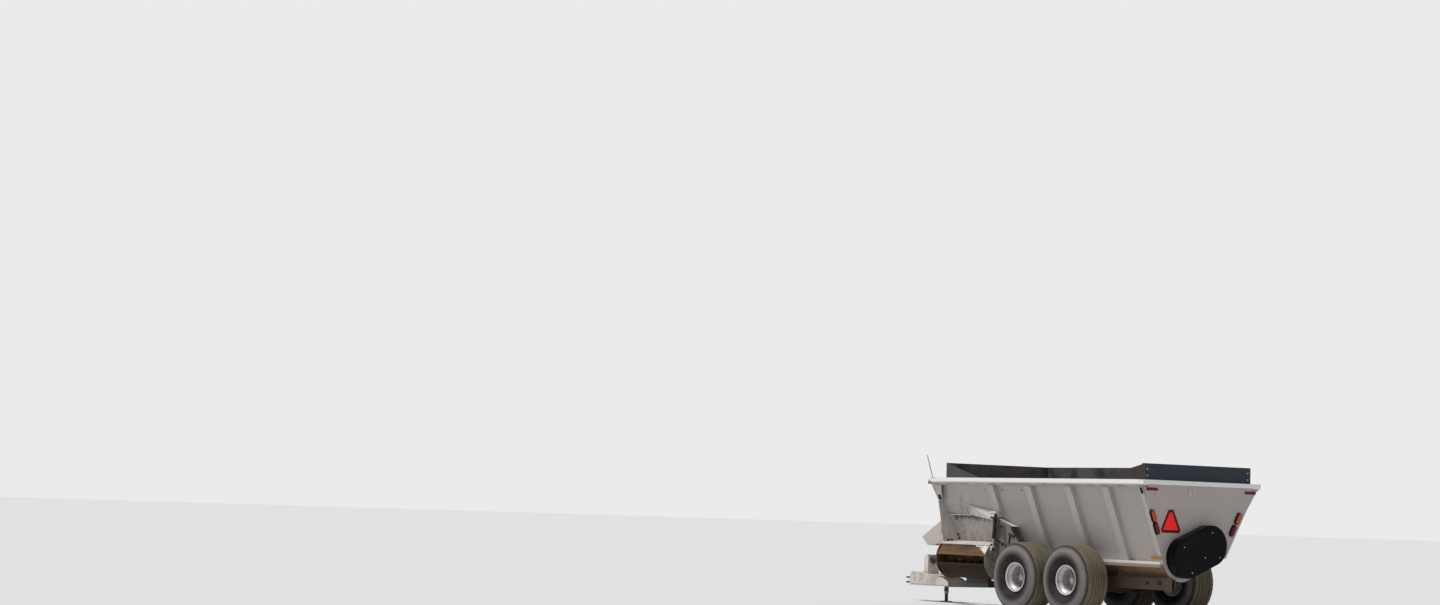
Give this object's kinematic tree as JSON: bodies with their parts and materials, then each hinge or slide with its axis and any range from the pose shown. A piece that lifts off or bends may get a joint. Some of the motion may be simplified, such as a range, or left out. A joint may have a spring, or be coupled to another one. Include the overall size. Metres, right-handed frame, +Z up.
{
  "type": "manure spreader",
  "caption": "Towed tandem-axle manure spreader with a leaning open tank, twin augers and a hammer expeller that throws to the left at the front.",
  "frame": {"origin": "on the ground below the middle of the whole machine's box", "axes": "+X to the machine's left, +Y to its rear, +Z up; it is towed along -Y"},
  "size_m": [2.742, 7.575, 2.5255],
  "materials": {
    "light_paint": "satin",
    "board_paint": "satin",
    "dark_steel": "satin",
    "black_plastic": "matte",
    "cover_paint": "gloss",
    "amber_lens": "gloss",
    "red_lens": "gloss",
    "sign_orange": "gloss",
    "reflector_red": "gloss",
    "worn_steel": "worn",
    "black_paint": "gloss",
    "rubber_strip": "matte",
    "hose_rubber": "satin",
    "rod_chrome": "polished",
    "tyre_rubber": "matte",
    "rim_paint": "satin"
  },
  "bodies": {
    "chassis": {"left_wall": "light_paint", "right_wall": "light_paint", "front_plate": "light_paint", "rear_plate": "light_paint", "troughs": "light_paint", "top_rail": "light_paint", "ribs": "light_paint", "corner_posts": "light_paint", "side_sills": "light_paint", "boards": "board_paint", "frame_rails": "light_paint", "cross_members": "light_paint", "saddles": "light_paint", "tongue_beams": "dark_steel", "hitch_box": "light_paint", "hitch_clevis": "dark_steel", "shaft_stand": "light_paint", "driveline": "black_plastic", "gearbox": "dark_steel", "jack": "dark_steel", "rockers": "light_paint", "spindles": "dark_steel", "rear_drive_cover": "cover_paint", "front_drive_cover": "light_paint", "housing_cheeks": "light_paint", "housing_pan": "light_paint", "hood": "light_paint", "discharge_floor": "light_paint", "wheel_guard": "light_paint", "guard_rubber": "rubber_strip", "hoses": "hose_rubber", "lamps_amber": "amber_lens", "lamps_red": "red_lens", "slow_sign": "sign_orange", "reflectors": "reflector_red", "marker_rod": "light_paint"},
    "left_auger": {"auger_left": "worn_steel", "flight_left": "worn_steel"},
    "right_auger": {"auger_right": "worn_steel", "flight_right": "worn_steel"},
    "expeller_rotor": {"expeller": "worn_steel"},
    "deflector_flap": {"deflector": "light_paint"},
    "cylinder": {"cylinder_barrel": "black_paint"},
    "cylinder_piston": {"cylinder_rod": "rod_chrome"},
    "front_left_wheel": {"tyre_front_left": "tyre_rubber", "rim_front_left": "rim_paint"},
    "rear_left_wheel": {"tyre_rear_left": "tyre_rubber", "rim_rear_left": "rim_paint"},
    "front_right_wheel": {"tyre_front_right": "tyre_rubber", "rim_front_right": "rim_paint"},
    "rear_right_wheel": {"tyre_rear_right": "tyre_rubber", "rim_rear_right": "rim_paint"}
  },
  "joints": [
    {"name": "front_left_wheel_turn", "type": "hinge", "parent": "chassis", "child": "front_left_wheel", "pos_m": [1.118, 0.7835, 0.562], "axis": [1, 0, 0], "continuous": true},
    {"name": "rear_left_wheel_turn", "type": "hinge", "parent": "chassis", "child": "rear_left_wheel", "pos_m": [1.118, 2.0165, 0.562], "axis": [1, 0, 0], "continuous": true},
    {"name": "front_right_wheel_turn", "type": "hinge", "parent": "chassis", "child": "front_right_wheel", "pos_m": [-1.118, 0.7835, 0.562], "axis": [1, 0, 0], "continuous": true},
    {"name": "rear_right_wheel_turn", "type": "hinge", "parent": "chassis", "child": "rear_right_wheel", "pos_m": [-1.118, 2.0165, 0.562], "axis": [1, 0, 0], "continuous": true},
    {"name": "left_auger_turn", "type": "hinge", "parent": "chassis", "child": "left_auger", "pos_m": [0.385, 1.1, 0.975], "axis": [0, 1, 0], "continuous": true},
    {"name": "right_auger_turn", "type": "hinge", "parent": "chassis", "child": "right_auger", "pos_m": [-0.1, 1.1, 1.17], "axis": [0, 1, 0], "continuous": true},
    {"name": "expeller_turn", "type": "hinge", "parent": "chassis", "child": "expeller_rotor", "pos_m": [0.93, -0.7095, 0.8], "axis": [0, 1, 0], "continuous": true},
    {"name": "deflector_hinge", "type": "hinge", "parent": "chassis", "child": "deflector_flap", "pos_m": [1.142, -0.7095, 1.02], "axis": [0, -1, 0], "range_deg": [-12, 50]},
    {"name": "cylinder_pivot", "type": "hinge", "parent": "chassis", "child": "cylinder", "pos_m": [1.14, 0.0485, 1.535], "axis": [0, -1, 0], "range_deg": [-0.94, 3.61]},
    {"name": "cylinder_slide", "type": "slide", "parent": "cylinder", "child": "cylinder_piston", "axis": [0.0851, 0, -0.9964], "range_m": [-0.03753, 0.00977]}
  ],
  "couplings": [
    {"joint": "right_auger_turn", "follows": "left_auger_turn", "ratio": 1},
    {"joint": "cylinder_pivot", "follows": "deflector_hinge", "ratio": 0.07012},
    {"joint": "cylinder_slide", "follows": "deflector_hinge", "m_per_rad": -0.04186}
  ]
}
